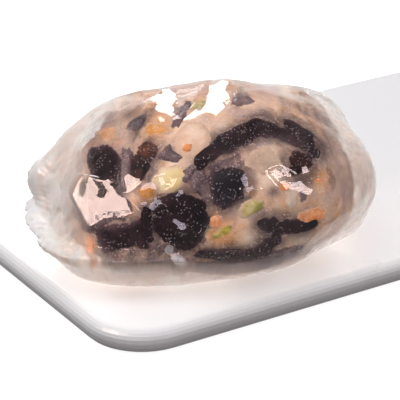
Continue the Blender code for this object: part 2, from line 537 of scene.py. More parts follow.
def pasteColour(board):
    # cooked mince: peach and cream, with amber, lavender and dusky clouds
    mottled = board.noise(0.0032, 4.0, 0.62)
    paste = board.ramp(mottled, ((0.30, (0.31, 0.18, 0.13)), (0.42, (0.60, 0.38, 0.25)),
                                 (0.55, (0.78, 0.55, 0.39)), (0.70, (0.90, 0.73, 0.57))))
    amber = board.noise(0.0055, 3.0, 0.6, shift=(5, 2, 8)).between(0.54, 0.66)
    warm = board.blend(amber * 0.8, paste, (0.66, 0.29, 0.08))
    lavender = board.noise(0.0070, 3.0, 0.6, shift=(8, 8, 2)).between(0.48, 0.60)
    cooler = board.blend(lavender * 0.65, warm, (0.42, 0.33, 0.33))
    duskAndPaintedShade = board.noise(0.0042, 4.0, 0.65, shift=(9, 4, 1)).between(0.54, 0.66)
    deep = board.blend(duskAndPaintedShade * 0.8, cooler, (0.110, 0.070, 0.066))
    uneven = 0.25 + 1.3 * board.noise(0.0024, 4.0, 0.65, shift=(6, 1, 7))
    # The washes; the dark ones along the bottom of the filling are painted shade.
    for name, washed in washColours.items():
        deep = board.blend((board.attribute(name) * uneven).clamped(), deep, washed)
    return board.blend(board.attribute("darkHalo") * 0.85, deep, (0.085, 0.055, 0.058))


kinds = {}
for kind, (name, *settings) in ears.items():
    kinds[kind] = fillingMaterial(name, "dark", earColour, *settings)
for kind, (name, *settings) in lights.items():
    kinds[kind] = fillingMaterial(name, "light", lightColour, *settings)
kinds["dusk"] = fillingMaterial("shadowed shreds", "dark", duskColour)
kinds["paste"] = fillingMaterial("minced paste", "light", pasteColour)
print("filling materials:", len(kinds))

# The minced paste inside: how thick the dough over it is, in millimetres, and its own lumps
core = {
    "segments": 224,
    "rings": 150,
    "evenShare": 0.9,
    "centre": (0.0, 0.0, 0.0145),
    "dough": 1.35,
    "crimpedEnd": 6.3,
    "crimpedFrom": 0.64,
    "roundEnd": 4.6,
    "roundFrom": 0.70,
    "below": 0.9,
    "belowCrimped": 3.2,
    "belowEnds": (-0.3, 0.5),
    "belowFrom": (0.10, 0.70),
    "leastDough": 0.55,
    "lumps": ((0.0060, 0.75), (0.0026, 0.42), (0.0012, 0.14)),
    "darkHaloReach": 0.0015,
    "clearOver": 0.0003,
    "washFacing": (-0.1, 0.2),
}
millimetre = 0.001


def makeCore():
    directions, faces = sphereGrid(core["segments"], core["rings"], core["evenShare"])
    centre = Vector(toWorld(np.array([core["centre"]]))[0])
    aims = toWorld(directions) - toWorld(np.zeros((1, 3)))
    reach = np.array([skinTree.ray_cast(centre, Vector(aim))[3] for aim in aims])
    along, _, up = directions.T
    dough = np.full(len(directions), core["dough"])
    dough += core["crimpedEnd"] * smoothStep(core["crimpedFrom"], 1.0, -along)
    dough += core["roundEnd"] * smoothStep(core["roundFrom"], 1.0, along)
    below = core["below"] + (core["belowCrimped"] - core["below"]) * smoothStep(*core["belowEnds"], -along)
    dough += below * smoothStep(*core["belowFrom"], -up)
    for seed, (size, height) in enumerate(core["lumps"]):
        dough += height * lumps(directions * reach[:, None], size, seed=4.0 + 3.0 * seed)
    radius = reach - np.maximum(dough, core["leastDough"]) * millimetre
    points = np.array(centre) + aims * radius[:, None]
    return meshObject("mincedPaste", points, faces, kinds["paste"])


# Filling that shows, as patches: kind, outline in pixels, depth under the skin in millimetres, all over or
# at the left, right, top and bottom edges, and how far the rim sinks into the paste
patches = {
    "earUpperLeft": ("woodEar", (
        (86, 150), (93, 145), (103, 143), (112, 146), (118, 155), (119, 167), (117, 178), (109, 184),
        (98, 183), (90, 178), (86, 168)
    ), (0.15, 0.25, 0.70, 0.12), 0.7),
    "earBrownTop": ("brownEar", (
        (136, 147), (142, 140), (152, 140), (157, 147), (154, 155), (145, 157), (137, 154)
    ), 0.35, 0.7),
    "earBrownLow": ("darkBrownEar", (
        (131, 153), (140, 152), (150, 155), (149, 166), (144, 177), (137, 182), (131, 174), (129, 162)
    ), (0.40, 0.30, 0.35, 0.35), 0.7),
    "earRound": ("woodEar", (
        (152, 213), (154, 202), (162, 196), (175, 193), (190, 194), (201, 199), (207, 209), (208, 222),
        (203, 236), (194, 247), (184, 251), (172, 246), (161, 238), (154, 226)
    ), (0.25, 0.35, 0.25, 0.35), 0.4),
    "earRightEnd": ("darkBrownEar", (
        (286, 158), (292, 150), (304, 149), (314, 154), (316, 166), (309, 175), (298, 178), (288, 172)
    ), (0.45, 0.60, 0.60, 0.30), 0.8),
    "earBlue": ("blueEar", (
        (211, 168), (221, 163), (234, 162), (246, 170), (249, 182), (246, 195), (237, 204), (226, 209),
        (215, 205), (209, 194), (207, 180)
    ), (0.45, 0.35, 0.90, 0.30), 0.8),
    "earLowerLeft": ("woodEar", (
        (88, 233), (93, 227), (108, 223), (122, 222), (133, 219), (143, 215), (151, 223), (153, 236),
        (159, 247), (165, 257), (162, 267), (150, 268), (136, 261), (120, 256), (104, 252), (94, 243)
    ), (0.25, 1.10, 0.25, 1.10), 0.9),
    "earUnderPanel": ("darkBrownEar", (
        (79, 180), (90, 176), (108, 180), (111, 192), (102, 200), (88, 200), (80, 195)
    ), (0.55, 0.55, 0.55, 0.70), 0.8),
    "panelShade": ("dusk", (
        (72, 186), (80, 178), (92, 176), (108, 182), (129, 203), (136, 213), (126, 221), (108, 222),
        (90, 232), (80, 219)
    ), (0.95, 0.75, 0.95, 0.95), 1.2),
    "duskBetween": ("dusk", (
        (112, 150), (121, 142), (131, 146), (133, 160), (130, 176), (124, 190), (117, 188), (114, 170)
    ), (1.0, 0.9, 1.4, 0.9), 1.4),
    "duskLeft": ("dusk", (
        (62, 196), (70, 180), (82, 172), (92, 180), (86, 200), (92, 224), (86, 236), (72, 226), (63, 212)
    ), (1.6, 1.0, 1.8, 1.2), 1.6),
    "duskMiddle": ("dusk", (
        (186, 168), (196, 160), (206, 168), (212, 184), (214, 202), (208, 214), (202, 200), (190, 194),
        (184, 182)
    ), (0.7, 0.7, 0.8, 0.7), 1.2),
    "duskLowLeft": ("dusk", (
        (142, 240), (158, 238), (176, 250), (190, 262), (186, 272), (164, 275), (142, 270), (134, 256)
    ), (0.9, 0.9, 0.7, 1.4), 1.4),
    "duskRightTop": ("dusk", (
        (304, 120), (320, 124), (334, 138), (342, 158), (340, 174), (330, 170), (322, 150), (310, 134)
    ), (1.8, 2.2, 2.0, 1.8), 1.6),
    "duskRightLow": ("dusk", (
        (324, 186), (336, 176), (344, 190), (342, 212), (330, 232), (318, 236), (322, 214)
    ), (1.5, 2.2, 1.6, 1.8), 1.6),
    "duskLowRight": ("dusk", (
        (240, 216), (256, 222), (270, 232), (262, 246), (248, 240), (240, 230)
    ), (1.3, 1.0, 1.2, 1.0), 1.4),
    "duskUnderArch": ("dusk", (
        (206, 168), (214, 158), (230, 152), (246, 148), (250, 160), (244, 170), (226, 166), (212, 176)
    ), (0.7, 0.9, 0.7, 0.8), 1.2),
    "duskRightMiddle": ("dusk", (
        (296, 172), (310, 178), (320, 190), (312, 204), (300, 212), (292, 200), (290, 184)
    ), (1.2, 1.4, 1.2, 1.3), 1.5),
    "duskUpperArch": ("dusk", (
        (292, 108), (306, 110), (318, 120), (320, 130), (304, 126), (290, 118)
    ), (1.2, 1.6, 1.4, 1.2), 1.4),
    "corn": ("corn", (
        (150, 180), (156, 170), (167, 164), (180, 163), (188, 170), (187, 180), (179, 188), (171, 195),
        (161, 193), (152, 188)
    ), (0.20, 0.20, 0.50, 0.20), 0.8),
    "cornBit": ("amber", (
        (136, 190), (144, 184), (154, 186), (157, 194), (150, 200), (140, 199)
    ), (0.45, 0.35, 0.45, 0.45), 0.8),
    "mushroomLump": ("mushroom", (
        (244, 164), (250, 151), (262, 142), (277, 142), (287, 152), (288, 164), (278, 172), (260, 174)
    ), (0.50, 0.50, 0.70, 0.50), 0.9),
    "greenRight": ("green", (
        (238, 212), (246, 201), (257, 197), (267, 200), (269, 208), (260, 214), (249, 219), (240, 219)
    ), (0.35, 0.50, 0.50, 0.35), 0.9),
    "carrotLowRight": ("carrot", (
        (298, 217), (305, 211), (317, 208), (328, 210), (328, 218), (317, 223), (304, 224)
    ), (0.20, 0.30, 0.30, 0.25), 0.7),
    "carrotRight": ("carrot", (
        (312, 172), (319, 166), (327, 170), (330, 184), (324, 190), (315, 184)
    ), (0.80, 1.10, 1.00, 0.80), 1.0),
    "carrotSmall": ("carrot", ((281, 184), (287, 182), (291, 186), (288, 191), (282, 190)), 0.25, 0.6),
    "carrotMiddle": ("carrot", (
        (208, 222), (214, 215), (223, 217), (223, 226), (213, 230)
    ), (0.70, 0.60, 0.60, 0.60), 0.9),
    "pasteYellow": ("amber", (
        (206, 232), (214, 226), (230, 224), (236, 232), (228, 242), (212, 246), (204, 241)
    ), 0.80, 1.0),
    "oliveSlice": ("olive", (
        (212, 237), (218, 231), (228, 226), (233, 229), (227, 236), (216, 240)
    ), 0.25, 0.5),
    "paleRight": ("pale", (
        (286, 196), (291, 189), (299, 191), (301, 201), (296, 210), (288, 208)
    ), 0.45, 0.9),
    "amberUpper": ("amber", (
        (139, 129), (144, 121), (156, 118), (170, 121), (174, 127), (164, 132), (152, 134), (144, 136)
    ), (0.70, 0.70, 0.80, 0.60), 1.0),
    "prawnLump": ("peach", (
        (174, 142), (178, 127), (190, 118), (204, 119), (212, 131), (208, 146), (197, 156), (182, 155)
    ), (0.25, 0.35, 0.50, 0.25), 0.8),
    "carrotOnPrawn": ("carrot", ((182, 147), (186, 142), (192, 143), (192, 149), (186, 151)), 0.12, 0.5),
    "greyShred": ("dusk", (
        (156, 156), (162, 149), (169, 142), (173, 149), (182, 156), (176, 161), (166, 160)
    ), 0.25, 0.5),
    "greyStreak": ("blueEar", (
        (122, 121), (130, 113), (142, 107), (149, 108), (144, 116), (132, 124)
    ), (1.5, 1.2, 1.3, 1.3), 1.2),
    "greenTop": ("green", ((190, 104), (196, 99), (205, 98), (205, 103), (197, 107)), 0.40, 0.6),
    "fibresTop": ("dusk", (
        (170, 122), (176, 108), (186, 98), (192, 100), (186, 112), (178, 124)
    ), 0.60, 0.9),
    "greenUpperRight": ("green", (
        (248, 104), (258, 97), (272, 95), (286, 100), (296, 108), (290, 114), (272, 109), (256, 111)
    ), (1.5, 1.5, 1.4, 1.4), 1.2),
    "blushUpperRight": ("carrot", (
        (262, 94), (268, 86), (280, 86), (286, 94), (280, 100), (268, 100)
    ), 1.9, 1.0),
    "greyUpperRight": ("dusk", (
        (228, 96), (238, 88), (252, 90), (256, 97), (246, 101), (234, 101)
    ), (0.9, 1.1, 1.0, 1.0), 1.0),
    "blushUpperLeft": ("amber", (
        (88, 128), (98, 120), (110, 118), (118, 126), (110, 136), (96, 138)
    ), (2.0, 1.8, 2.0, 1.8), 1.2),
    "streakLowLeft": ("carrot", (
        (83, 240), (88, 236), (93, 243), (93, 253), (86, 252)
    ), (0.7, 0.7, 0.7, 0.8), 0.8),
    "glassyBit": ("glassy", ((165, 250), (168, 246), (173, 247), (173, 252), (168, 254)), 0.15, 0.4),
    "glassyTail": ("glassy", (
        (171, 254), (178, 253), (187, 261), (189, 269), (180, 272), (173, 264)
    ), (0.35, 0.35, 0.25, 0.60), 0.7),
}
# Filling that shows, as bands: kind, middle line as (x, y, half width) in pixels, depth at its two ends,
# and how far its long edges sink
bands = {
    "earArch": ("woodEar", (
        (199, 170, 5), (203, 157, 9), (219, 144, 11), (240, 133, 11), (262, 125, 12), (284, 126, 12),
        (302, 133, 12), (315, 146, 11), (319, 160, 6)
    ), (0.25, 0.95), 0.7),
    "earLowerBand": ("woodEar", (
        (320, 222, 6), (306, 227, 9), (288, 228, 9), (270, 227, 9), (258, 224, 5)
    ), (0.30, 1.00), 0.8),
    "earLowerHook": ("woodEar", (
        (280, 232, 6), (276, 244, 8), (264, 254, 8), (246, 259, 8), (226, 260, 7), (208, 257, 6),
        (194, 256, 4)
    ), (0.90, 0.40), 0.8),
    "earMiddle": ("woodEar", (
        (146, 206, 4), (146, 218, 6), (146, 232, 7), (150, 244, 5)
    ), (0.35, 0.60), 0.6),
    # A dark band along the foot of the filling: painted shade.
    "duskFoot": ("dusk", (
        (196, 269, 7), (228, 272, 8), (256, 268, 8), (286, 259, 7), (306, 249, 5)
    ), (0.50, 0.80), 0.9),
    "earThread": ("dusk", ((196, 165, 3), (188, 172, 5), (184, 182, 4)), (0.30, 0.50), 0.6),
}
# How the pieces are made: their grids, how uneven they are, and how they blend at the rim. Depths are in
# millimetres. The hidden ones fill the sides that the photo doesn't show.
filling = {
    "rings": 10,
    "around": 96,
    "along": 72,
    "across": 14,
    "jagged": 0.22,
    "jaggedBand": 0.484,
    "wobbles": ((2.6, 1.0), (7.0, 0.5), (17.0, 0.4)),
    "outlineShare": 1.06,
    "thickness": 2.2,
    "nearest": 0.08,
    "lump": 0.22,
    "lumpsAcross": 3.4,
    "endShare": 0.08,
    "blur": 0.08,
    "blurDark": 0.20,
    "blurLight": 0.27,
    "rimShare": 0.60,
    "rimFull": 1.05,
    "fringe": 0.04,
    "fringeSunk": 0.18,
    "endWidth": 0.02,
    "roughStep": 0.16,
    "patchSeeds": 1.7,
    "bandSeeds": 2.9,
}
hidden = {
    "count": 26,
    "tries": 500,
    "kinds": ("woodEar", "woodEar", "brownEar", "blueEar", "carrot", "green", "corn", "peach", "mushroom",
              "dusk"),
    "span": 0.62,
    "rise": (0.05, 0.9),
    "facing": -0.22,
    "gap": 0.0062,
    "size": (0.0030, 0.0072),
    "corners": (6, 9),
    "uneven": (0.65, 1.1),
    "flat": 0.8,
    "depth": (0.3, 1.0),
    "deeper": 0.3,
    "sink": 0.9,
    "start": 0.02,
    "spin": 3,
    "lean": 0.4,
    "seed": 11,
    "pieceSeeds": 2.3,
}


def smoothLine(points, count, closed):
    # an evenly stepped smooth curve through the points
    fixed = np.array(points, float)
    total = len(fixed)
    steps = np.linspace(0, total if closed else total - 1, count, endpoint=not closed)
    first = np.minimum(np.floor(steps).astype(int), total - (1 if closed else 2))
    t = (steps - first)[:, None]
    wrap = (lambda k: (first + k) % total) if closed else (lambda k: np.clip(first + k, 0, total - 1))
    p0, p1, p2, p3 = (fixed[wrap(k)] for k in (-1, 0, 1, 2))
    return 0.5 * (2 * p1 + (p2 - p0) * t + (2 * p0 - 5 * p1 + 4 * p2 - p3) * t**2
                  + (3 * p1 - p0 - 3 * p2 + p3) * t**3)


def shell(name, kind, places, rims, depths, sink, faces, border, seed, cast):
    # a piece of filling under the skin: its outer side follows the skin at the depths, its rim sinks
    upper, lower = [], []
    spread = np.ptp(places, axis=0).max()
    for place, rim, depth in zip(places, rims, depths):
        hit, normal = cast(place)
        lump = noise.noise(Vector((place[0], place[1], seed)) * filling["lumpsAcross"] / spread)
        near = max(filling["nearest"], depth + sink * rim**4 + filling["lump"] * lump)
        upper.append(hit - normal * near * millimetre)
        lower.append(hit - normal * (depth + sink + filling["thickness"]) * millimetre)
    half = len(upper)
    sides = [tuple(reversed([half + k for k in face])) for face in faces]
    walls = [(b, a, half + a, half + b) for a, b in zip(border, border[1:] + border[:1])]
    made = meshObject(name, upper + lower, list(faces) + sides + walls, kinds[kind])
    shape = bmesh.new()
    shape.from_mesh(made.data)
    bmesh.ops.recalc_face_normals(shape, faces=shape.faces)
    shape.to_mesh(made.data)
    shape.free()
    soft = min(1.0, sink)
    rims = np.tile(rims, 2)
    setAttribute(made, "rim", smoothStep(1.0 - filling["rimShare"] * soft, filling["rimFull"], rims) * soft)
    setAttribute(made, "above", (1.0 - rims) / (filling["fringe"] + filling["fringeSunk"] * soft))
    return made


def makePatch(name, kind, outline, depths, sink, seed, cast):
    around, rings = filling["around"], filling["rings"]
    edge = smoothLine(outline, around, True)
    middle = edge.mean(axis=0)
    turns = np.arange(around) * 2 * math.pi / around
    wobble = np.zeros(around)
    for fineness, share in filling["wobbles"]:
        circle = [Vector((math.cos(turn) * fineness, math.sin(turn) * fineness, seed)) for turn in turns]
        wobble += share * np.array([noise.noise(point) for point in circle])
    wide = filling["outlineShare"] + filling["jagged"] * min(1.0, sink) * wobble
    edge = middle + (edge - middle) * wide[:, None]
    shares = 1.0 - np.arange(rings) / rings
    places = np.concatenate([middle + (edge - middle) * share for share in shares] + [[middle]])
    rims = np.concatenate([np.full(around, share) for share in shares] + [[0.0]])
    low, high = edge.min(axis=0), edge.max(axis=0)
    across, down = ((places - low) / (high - low)).T
    left, right, top, bottom = np.broadcast_to(depths, 4)
    depths = 0.5 * (left + (right - left) * across + top + (bottom - top) * down)
    faces = gridFaces(rings, around, True)
    last = (rings - 1) * around
    faces += [(last + step, last + (step + 1) % around, rings * around) for step in range(around)]
    return shell(name, kind, places, rims, depths, sink, faces, list(range(around)), seed, cast)


def makeBand(name, kind, path, depths, sink, seed, cast):
    along, across = filling["along"], filling["across"]
    line = smoothLine(path, along, False)
    heading = np.gradient(line[:, :2], axis=0)
    heading /= np.linalg.norm(heading, axis=1, keepdims=True)
    beside = np.stack((-heading[:, 1], heading[:, 0]), axis=1)
    ends = np.minimum(np.arange(along), np.arange(along)[::-1]) / (along * filling["endShare"])
    width = line[:, 2] * np.sqrt(np.clip(ends, filling["endWidth"], 1.0))
    places, rims = [], []
    for step in range(along):
        place = step * filling["roughStep"]
        rough = [noise.noise(Vector((place, side * 3, seed))) for side in (-1.0, 1.0)]
        for side in np.linspace(-1.0, 1.0, across):
            reach = width[step] * (1.0 + filling["jaggedBand"] * rough[side > 0])
            places.append(line[step, :2] + beside[step] * side * reach)
            rims.append(max(abs(side), 1.0 - min(1.0, ends[step])))
    depth = np.repeat(np.linspace(depths[0], depths[1], along), across)
    last = (along - 1) * across
    border = list(range(across)) + [step * across + across - 1 for step in range(1, along)]
    border += range(last + across - 2, last - 1, -1)
    border += [step * across for step in range(along - 2, 0, -1)]
    faces = gridFaces(along, across, False)
    return shell(name, kind, np.array(places), rims, depth, sink, faces, border, seed, cast)


def castPixel(place):
    # where the photo's line of sight meets the skin, and the skin's normal there
    eye = eyePoint()
    hit, normal, _, _ = skinTree.ray_cast(eye, pixelDirection(*place))
    if hit is None:
        hit, normal, _, _ = skinTree.find_nearest(eye + pixelDirection(*place) * view["distance"])
    return hit, normal


def castFrom(centre, normal, along):
    # places in metres on the flat that touches the skin at centre
    across = normal.cross(along).normalized()
    upward = across.cross(normal).normalized()

    def cast(place):
        start = centre + normal * hidden["start"] + across * place[0] + upward * place[1]
        hit, found, _, _ = skinTree.ray_cast(start, -normal)
        if hit is None:
            hit, found, _, _ = skinTree.find_nearest(start)
        return hit, found

    return cast


def makeShown():
    made = []
    for index, (name, (kind, outline, depths, sink)) in enumerate(patches.items()):
        seed = index * filling["patchSeeds"]
        made.append(makePatch(name, kind, outline, depths, sink, seed, castPixel))
    for index, (name, (kind, path, depths, sink)) in enumerate(bands.items()):
        seed = index * filling["bandSeeds"]
        made.append(makeBand(name, kind, path, depths, sink, seed, castPixel))
    return made


def makeHidden():
    # the same kinds of piece over the back and the far sides, which the photo doesn't show
    draw = random.Random(hidden["seed"])
    _, _, back = viewAxes()
    made = []
    for _ in range(hidden["tries"]):
        if len(made) == hidden["count"]:
            break
        turn = draw.uniform(0, 2 * math.pi)
        rise = draw.uniform(*hidden["rise"])
        level = math.sqrt(1 - rise * rise)
        if abs(level * math.cos(turn)) > hidden["span"]:
            continue
        direction = np.array([[level * math.cos(turn), level * math.sin(turn), rise]])
        site = Vector(toWorld(mound(direction, swell=False))[0])
        hit, normal, _, _ = skinTree.find_nearest(site)
        crowded = any((hit - other).length < hidden["gap"] for _, other in made)
        if normal.dot(back) > hidden["facing"] or crowded:
            continue
        size = draw.uniform(*hidden["size"])
        corners = draw.randint(*hidden["corners"])
        outline = []
        for corner in range(corners):
            angle = corner * 2 * math.pi / corners
            reach = size * draw.uniform(*hidden["uneven"])
            outline.append((reach * math.cos(angle), reach * hidden["flat"] * math.sin(angle)))
        depth = draw.uniform(*hidden["depth"])
        deeper = depth + hidden["deeper"]
        spun = turn * hidden["spin"]
        cast = castFrom(hit, normal, Vector((math.cos(spun), math.sin(spun), hidden["lean"])))
        name = "backPiece%02d" % (len(made) + 1)
        kind = draw.choice(hidden["kinds"])
        depths = (depth, deeper, deeper, depth)
        seed = len(made) * hidden["pieceSeeds"]
        made.append((makePatch(name, kind, outline, depths, hidden["sink"], seed, cast), hit))
    return [piece for piece, _ in made]


corePiece = makeCore()
shownPieces = makeShown()
hiddenPieces = makeHidden()
lenses = shownPieces + hiddenPieces
print("filling:", len(shownPieces), "pieces that show,", len(hiddenPieces), "behind")


def pointsOf(obj):
    points = np.empty(len(obj.data.vertices) * 3, np.float32)
    obj.data.vertices.foreach_get("co", points)
    return points.reshape(-1, 3).astype(float)


def facesOf(obj):
    return [tuple(face.vertices) for face in obj.data.polygons]


def toPixel(points):
    right, up, back = (np.array(axis) for axis in viewAxes())
    away = points - np.array(eyePoint())
    depth = -(away @ back)
    middle = view["pictureSide"] / 2
    across = middle + view["focalPixels"] * (away @ right) / depth
    return np.stack((across, middle - view["focalPixels"] * (away @ up) / depth), axis=1)


def gapsTo(others, points):
    # how far each of the points is from the nearest of the others
    tree = KDTree(len(others))
    for index, place in enumerate(others):
        tree.insert(Vector(place), index)
    tree.balance()
    return np.array([tree.find(Vector(place))[2] for place in points])


coreTree = BVHTree.FromPolygons([Vector(p) for p in pointsOf(corePiece)], facesOf(corePiece))
sinks = {name: item[-1] for name, item in (patches | bands).items()}
darkMaterials = [kinds[kind] for kind in ears]
depthOf = {}


def isDark(piece):
    return piece.data.materials[0] in darkMaterials


def blendIntoCore(piece):
    # above is 1 where the piece is fully seen, and falls to 0 at its outline and where it meets the paste
    soft = min(1.0, sinks.get(piece.name, hidden["sink"]))
    blur = filling["blur"] + (filling["blurDark"] if isDark(piece) else filling["blurLight"]) * soft
    layer = piece.data.attributes["above"].data
    for vertex, item in zip(piece.data.vertices, layer):
        hit, normal, _, _ = coreTree.find_nearest(vertex.co)
        item.value = min(item.value, (vertex.co - hit).dot(normal) / millimetre / blur)


def washCore():
    # soft colours in the paste, and its darkening round the dark pieces
    points = pointsOf(corePiece)
    darkPiecePoints = np.concatenate([pointsOf(piece) for piece in lenses if isDark(piece)])
    setAttribute(corePiece, "darkHalo", fade(gapsTo(darkPiecePoints, points), core["darkHaloReach"]))
    turned = pointNormals(points, facesOf(corePiece)) @ np.array(viewAxes()[2])
    facing = smoothStep(*core["washFacing"], turned)
    pixels = toPixel(points)
    for name, spots in washes.items():
        spread = np.zeros(len(points))
        for x, y, reach in spots:
            spread = np.maximum(spread, fade(np.linalg.norm(pixels - (x, y), axis=1), reach))
        setAttribute(corePiece, name, spread * facing)


# The core is seen all over. Light pieces let light through, so only the dark ones and the hidden ones
# cast shadows.
setAttribute(corePiece, "above", np.full(len(corePiece.data.vertices), 2.0))
for piece in lenses:
    blendIntoCore(piece)
    piece.visible_shadow = piece.visible_diffuse = isDark(piece) or piece in hiddenPieces
for piece in [corePiece, *lenses]:
    depthOf[piece.name] = np.array([skinTree.find_nearest(Vector(p))[3] for p in pointsOf(piece)])
    spare = core["clearOver"] if piece is corePiece else 0.0
    setAttribute(piece, "depth", np.maximum(depthOf[piece.name] - spare, 0.0))
washCore()
print("depths measured")

studio = {
    "floorSide": 4.0,
    "floorDrop": 0.0004,
    "floorGlow": 0.80,
    "sky": (0.150, 0.125, 0.145),
    "below": (0.20, 0.19, 0.19),
    "horizon": (-0.08, 0.12),
    "backdrop": (0.88, 0.88, 0.88),
    "backdropTop": (0.30, 0.45),
    "backdropSide": (0.0, 0.6),
    "away": 0.80,
    "middleHeight": 0.02,
}
# Softboxes: side is the angle round from the camera and rise the angle up, wide and high are how
# large they look from the dumpling, and glow is their brightness. Some only show in the gloss, and
# some only light.
lamps = {
    "backBox": {"side": 188.0, "rise": 33.0, "wide": 13.0, "high": 34.0, "glow": 6.5, "lights": False,
                "colour": (1.0, 0.995, 0.99)},
    "leftBox": {"side": -58.0, "rise": 41.0, "wide": 35.0, "high": 19.0, "glow": 16.5, "lights": False,
                "colour": (1.0, 0.75, 0.67)},
    "frontBox": {"side": -13.0, "rise": 38.0, "wide": 15.0, "high": 16.0, "glow": 6.0, "lights": False,
                 "colour": (0.92, 0.86, 1.0)},
    "rightBox": {"side": 52.0, "rise": 32.0, "wide": 17.0, "high": 11.0, "glow": 12.0, "lights": False,
                 "colour": (1.0, 0.84, 0.84)},
    "overhead": {"side": -124.0, "rise": 74.0, "wide": 44.0, "high": 40.0, "glow": 3.05, "mirrored": False,
                 "colour": (0.98, 0.99, 1.0)},
    "frontFill": {"side": 0.0, "rise": 65.0, "wide": 60.0, "high": 40.0, "glow": 1.8, "mirrored": False,
                  "colour": (1.0, 1.0, 1.0)},
}


def lampDirection(name):
    right, _, back = viewAxes()
    toCamera = Vector((back.x, back.y, 0.0)).normalized()
    side, rise = math.radians(lamps[name]["side"]), math.radians(lamps[name]["rise"])
    level = toCamera * math.cos(side) + right * math.sin(side)
    return level * math.cos(rise) + Vector((0, 0, 1)) * math.sin(rise)


# The skin's own relief, over the form: pieces that press through it, lumps, ripples and grain, flat
# facets, the combed brim and the creases of the crimped end. A span is one of u, v and w, the place
# where something starts and the place where it is full.
relief = {
    "press": 0.00010,
    "pressReach": 0.0011,
    "pressFrom": 0.0003,
    "shallow": 0.0007,
    "bumps": ((0.0060, 0.00035), (0.0028, 0.00012), (0.0014, 0.00002)),
    "facetMost": 0.0013,
    "facetFlat": 0.85,
    "facetSunk": 0.00012,
    "facetEdge": (-2.5, 0.5),
    "facetLevel": 8,
    "facetFacing": 0.05,
    "facetSteepest": 0.3,
    "dullEdge": (-1.6, 1.2),
    "shredEdge": (-1.6, 1.6),
    "ribStep": 0.0011,
    "ribLean": 0.35,
    "ribStray": 0.0012,
    "ribStrayOver": 0.006,
    "ribHeight": 0.00005,
    "ribbed": (("u", -0.0312, -0.0335), ("w", 0.020, 0.015)),
    "creaseSize": 0.0030,
    "creaseStretch": 0.5,
    "creaseWidth": 0.16,
    "creaseDepth": 0.00055,
    "creased": (("u", -0.0270, -0.0320),),
    "resting": 0.0016,
}
# Where the dough is milky: how strongly, and its spans. The last one comes on top of the others.
footSpan = ("w", 0.0105, 0.0035)
milk = {
    "crimped end": (0.90, ("u", -0.0235, -0.0310)),
    "foot": (0.324, footSpan),
    "front foot": (0.576, footSpan, ("u", 0.006, -0.016)),
    "crimped foot": (0.54, footSpan, ("u", -0.008, -0.020)),
    "round end": (0.55, ("u", 0.0235, 0.0300)),
    "crimped shoulder": (0.75, ("u", -0.010, -0.020), ("v", -0.003, 0.004), ("w", 0.016, 0.021)),
}
thickMilk = (0.60, ("w", 0.0080, 0.0028), ("u", 0.010, -0.004))
warmSpan = ("u", -0.0355, -0.0275)
paleFoot = 0.15
shreddedShare = 0.45
# Flat places of the skin, which mirror a lamp: the lamp, how rippled they are and the outline in pixels
facets = {
    "leftPanel": ("leftBox", 0.35, (
        (74, 184), (79, 178), (90, 177), (106, 180), (129, 203), (136, 213), (127, 219), (108, 219),
        (90, 231), (82, 219), (73, 195)
    )),
    "cornGlint": ("frontBox", 0.6, ((156, 178), (163, 176), (168, 184), (160, 188))),
    "slantGlint": ("frontBox", 0.5, (
        (149, 206), (154, 195), (161, 192), (162, 201), (155, 212), (150, 212)
    )),
    "discGlint": ("frontBox", 0.25, ((170, 216), (178, 217), (189, 226), (186, 233), (176, 230))),
    "rightPanel": ("rightBox", 0.8, (
        (268, 172), (276, 168), (284, 166), (290, 172), (296, 180), (306, 185), (314, 189), (312, 196),
        (302, 196), (294, 190), (284, 188), (276, 180)
    )),
    "rightBead": ("rightBox", 1.0, ((260, 184), (268, 182), (272, 188), (270, 196), (262, 192))),
    "middleBead": ("frontBox", 0.8, (
        (238, 178), (246, 175), (252, 184), (258, 190), (250, 194), (242, 190)
    )),
    "topFingers": ("backBox", 0.6, (
        (153, 108), (164, 98), (160, 92), (172, 90), (178, 98), (172, 104), (178, 112), (170, 118),
        (162, 112)
    )),
    "topSlant": ("backBox", 0.35, (
        (186, 116), (196, 107), (204, 96), (212, 87), (223, 82), (231, 84), (228, 92), (230, 99),
        (222, 103), (226, 109), (216, 119), (206, 112), (196, 114)
    )),
}
# Dull places, which mirror nothing: slits in the left panel, the arch's upper edge, the gap on top
dullPlaces = (
    ((86, 178), (91, 178), (85, 198), (81, 196)),
    ((94, 180), (102, 183), (107, 191), (103, 198), (97, 196), (99, 189)),
    ((218, 124), (244, 118), (262, 108), (264, 118), (248, 128), (222, 134)),
    (
        (168, 78), (212, 76), (208, 92), (196, 102), (187, 110), (181, 119), (173, 113), (178, 101),
        (174, 92)
    ),
    ((229, 86), (242, 86), (242, 113), (225, 113), (228, 104), (233, 98)),
    ((84, 236), (96, 236), (97, 252), (84, 252)),
    ((112, 98), (140, 84), (160, 84), (158, 92), (150, 99), (158, 104), (150, 112), (118, 112)),
    ((110, 172), (122, 168), (125, 180), (127, 193), (119, 189), (108, 179)),
)
# Places where the gloss is broken into shreds
shreddedPlaces = (
    (
        (84, 228), (94, 215), (108, 210), (130, 209), (137, 215), (128, 223), (108, 225), (92, 237),
        (83, 235)
    ),
    ((258, 166), (292, 160), (318, 184), (318, 202), (296, 200), (256, 198)),
    ((234, 172), (258, 170), (262, 198), (236, 198)),
    ((146, 190), (166, 188), (166, 206), (150, 216), (144, 206)),
)


